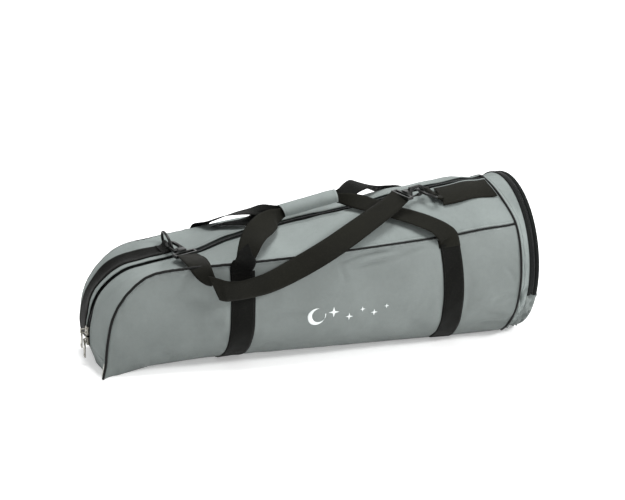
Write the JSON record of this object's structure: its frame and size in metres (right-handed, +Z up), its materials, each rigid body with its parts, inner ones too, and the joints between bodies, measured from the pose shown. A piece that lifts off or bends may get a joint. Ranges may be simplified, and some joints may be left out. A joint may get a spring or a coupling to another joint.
{
  "type": "telescope carry case",
  "caption": "Padded soft carry case for a telescope, tapering to a rounded nose, with a round zipped end lid, wrapped carry handles and a clip-on shoulder strap.",
  "frame": {"origin": "on the resting surface, under the zip line, midway between the tip of the nose and the round end", "axes": "+X along the case towards the round lid end, -Y towards the side with the shoulder strap, +Z up"},
  "size_m": [0.8126, 0.2976, 0.2857],
  "materials": {
    "grey_cloth": "woven polyester, matt, slightly green grey",
    "grey_cloth_top": "woven polyester, matt, slightly lighter",
    "piping": "black cloth over a cord",
    "webbing": "flat woven polypropylene webbing, warm black",
    "zip_tape": "black knitted tape with moulded coil",
    "zip_metal": "nickel plated, polished and lightly worn",
    "ring_and_hook": "black moulded plastic, satin",
    "foam": "closed-cell padding inside the walls",
    "inner_lining": "dark nylon lining, slight sheen",
    "emblem_print": "thin pale transfer print"
  },
  "bodies": {
    "case_body": {"front_side_panel": "grey_cloth", "rear_side_panel": "grey_cloth", "front_gusset": "grey_cloth_top", "rear_gusset": "grey_cloth_top", "base_panel": "grey_cloth", "nose_end_patch": "grey_cloth_top", "front_piping": "piping", "rear_piping": "piping", "collar_piping": "piping", "front_zip_tape": "zip_tape", "rear_zip_tape": "zip_tape", "nose_zip_coil": "zip_tape", "top_zip_coil": "zip_tape", "collar": "grey_cloth_top", "lower_end_segment": "grey_cloth", "collar_zip_tape": "zip_tape", "end_zip_coil": "zip_tape", "front_side_foam": "foam", "rear_side_foam": "foam", "front_top_foam": "foam", "rear_top_foam": "foam", "front_lining": "inner_lining", "rear_lining": "inner_lining", "base_board": "inner_lining", "floor_lining": "inner_lining", "front_bands": "webbing", "rear_bands": "webbing", "front_handle_arms": "webbing", "rear_handle_arms": "webbing", "nose_anchor_webbing": "webbing", "lid_anchor_webbing": "webbing", "shoulder_strap": "webbing", "printed_emblem": "emblem_print", "nose_hook_eye": "ring_and_hook", "lid_hook_eye": "ring_and_hook"},
    "end_lid": {"end_lid": "grey_cloth", "lid_zip_tape": "zip_tape", "lid_stiffener": "inner_lining", "lid_lining": "inner_lining"},
    "end_zip_slider": {"end_zip_slider": "zip_metal"},
    "end_zip_pull": {"end_zip_pull": "zip_metal"},
    "lower_nose_slider": {"lower_nose_slider": "zip_metal"},
    "lower_nose_pull": {"lower_nose_pull": "zip_metal"},
    "upper_nose_slider": {"upper_nose_slider": "zip_metal"},
    "upper_nose_pull": {"upper_nose_pull": "zip_metal"},
    "carry_grip": {"handle_grips": "webbing", "grip_wrap": "grey_cloth_top"},
    "grip_flap": {"grip_flap": "grey_cloth"},
    "nose_d_ring": {"nose_d_ring": "ring_and_hook"},
    "lid_d_ring": {"lid_d_ring": "ring_and_hook"},
    "nose_hook": {"nose_hook": "ring_and_hook"},
    "nose_hook_gate": {"nose_hook_gate": "ring_and_hook"},
    "lid_hook": {"lid_hook": "ring_and_hook"},
    "lid_hook_gate": {"lid_hook_gate": "ring_and_hook"}
  },
  "joints": [
    {"name": "lid_fold", "type": "hinge", "parent": "case_body", "child": "end_lid", "pos_m": [0.3965, 0, 0.0887], "axis": [0, 1, 0], "range_deg": [0, 115]},
    {"name": "end_slider_run", "type": "hinge", "parent": "case_body", "child": "end_zip_slider", "pos_m": [0.386, 0, 0.133], "axis": [1, 0, 0], "range_deg": [0, 200]},
    {"name": "end_pull_swing", "type": "hinge", "parent": "end_zip_slider", "child": "end_zip_pull", "pos_m": [0.386, 0.14398, 0.10761], "axis": [1, 0, 0], "range_deg": [0, 85]},
    {"name": "upper_slider_run", "type": "hinge", "parent": "case_body", "child": "upper_nose_slider", "pos_m": [-0.276, 0, 0.054], "axis": [0, 1, 0], "range_deg": [0, 45]},
    {"name": "lower_slider_run", "type": "hinge", "parent": "case_body", "child": "lower_nose_slider", "pos_m": [-0.276, 0, 0.054], "axis": [0, 1, 0], "range_deg": [0, 45]},
    {"name": "upper_pull_swing", "type": "hinge", "parent": "upper_nose_slider", "child": "upper_nose_pull", "pos_m": [-0.41371, 0, 0.06291], "axis": [0, 1, 0], "range_deg": [0, 100]},
    {"name": "lower_pull_swing", "type": "hinge", "parent": "lower_nose_slider", "child": "lower_nose_pull", "pos_m": [-0.40803, 0, 0.04407], "axis": [0, 1, 0], "range_deg": [0, 12]},
    {"name": "handle_lift", "type": "slide", "parent": "case_body", "child": "carry_grip", "axis": [0, 0, 1], "range_m": [0, 0.06]},
    {"name": "grip_flap_open", "type": "hinge", "parent": "carry_grip", "child": "grip_flap", "pos_m": [0.00517, 0.00285, 0.26797], "axis": [-0.9836, 0, -0.1805], "range_deg": [0, 110]},
    {"name": "nose_ring_tilt", "type": "hinge", "parent": "case_body", "child": "nose_d_ring", "pos_m": [-0.243, 0.0365, 0.1905], "axis": [0, 1, 0], "range_deg": [-4, 4]},
    {"name": "lid_ring_tilt", "type": "hinge", "parent": "case_body", "child": "lid_d_ring", "pos_m": [0.224, -0.0395, 0.2675], "axis": [0, 1, 0], "range_deg": [-4, 4]},
    {"name": "nose_hook_swivel", "type": "hinge", "parent": "case_body", "child": "nose_hook", "pos_m": [-0.23703, -0.0097, 0.19627], "axis": [0.3608, -0.9206, -0.1495], "range_deg": [-9, 9]},
    {"name": "lid_hook_swivel", "type": "hinge", "parent": "case_body", "child": "lid_hook", "pos_m": [0.17623, -0.04811, 0.27428], "axis": [-0.9599, -0.2753, -0.0523], "range_deg": [-9, 9]},
    {"name": "nose_hook_gate_press", "type": "hinge", "parent": "nose_hook", "child": "nose_hook_gate", "pos_m": [-0.24809, -0.00346, 0.19604], "axis": [0.1402, 0.212, -0.9671], "range_deg": [0, 22], "stiffness_Nm_per_rad": 0.05},
    {"name": "lid_hook_gate_press", "type": "hinge", "parent": "lid_hook", "child": "lid_hook_gate", "pos_m": [0.18596, -0.04532, 0.2666], "axis": [0.2756, -0.9613, 0], "range_deg": [0, 22], "stiffness_Nm_per_rad": 0.05}
  ],
  "couplings": [
    {"joint": "lower_slider_run", "follows": "upper_slider_run", "ratio": 1}
  ]
}
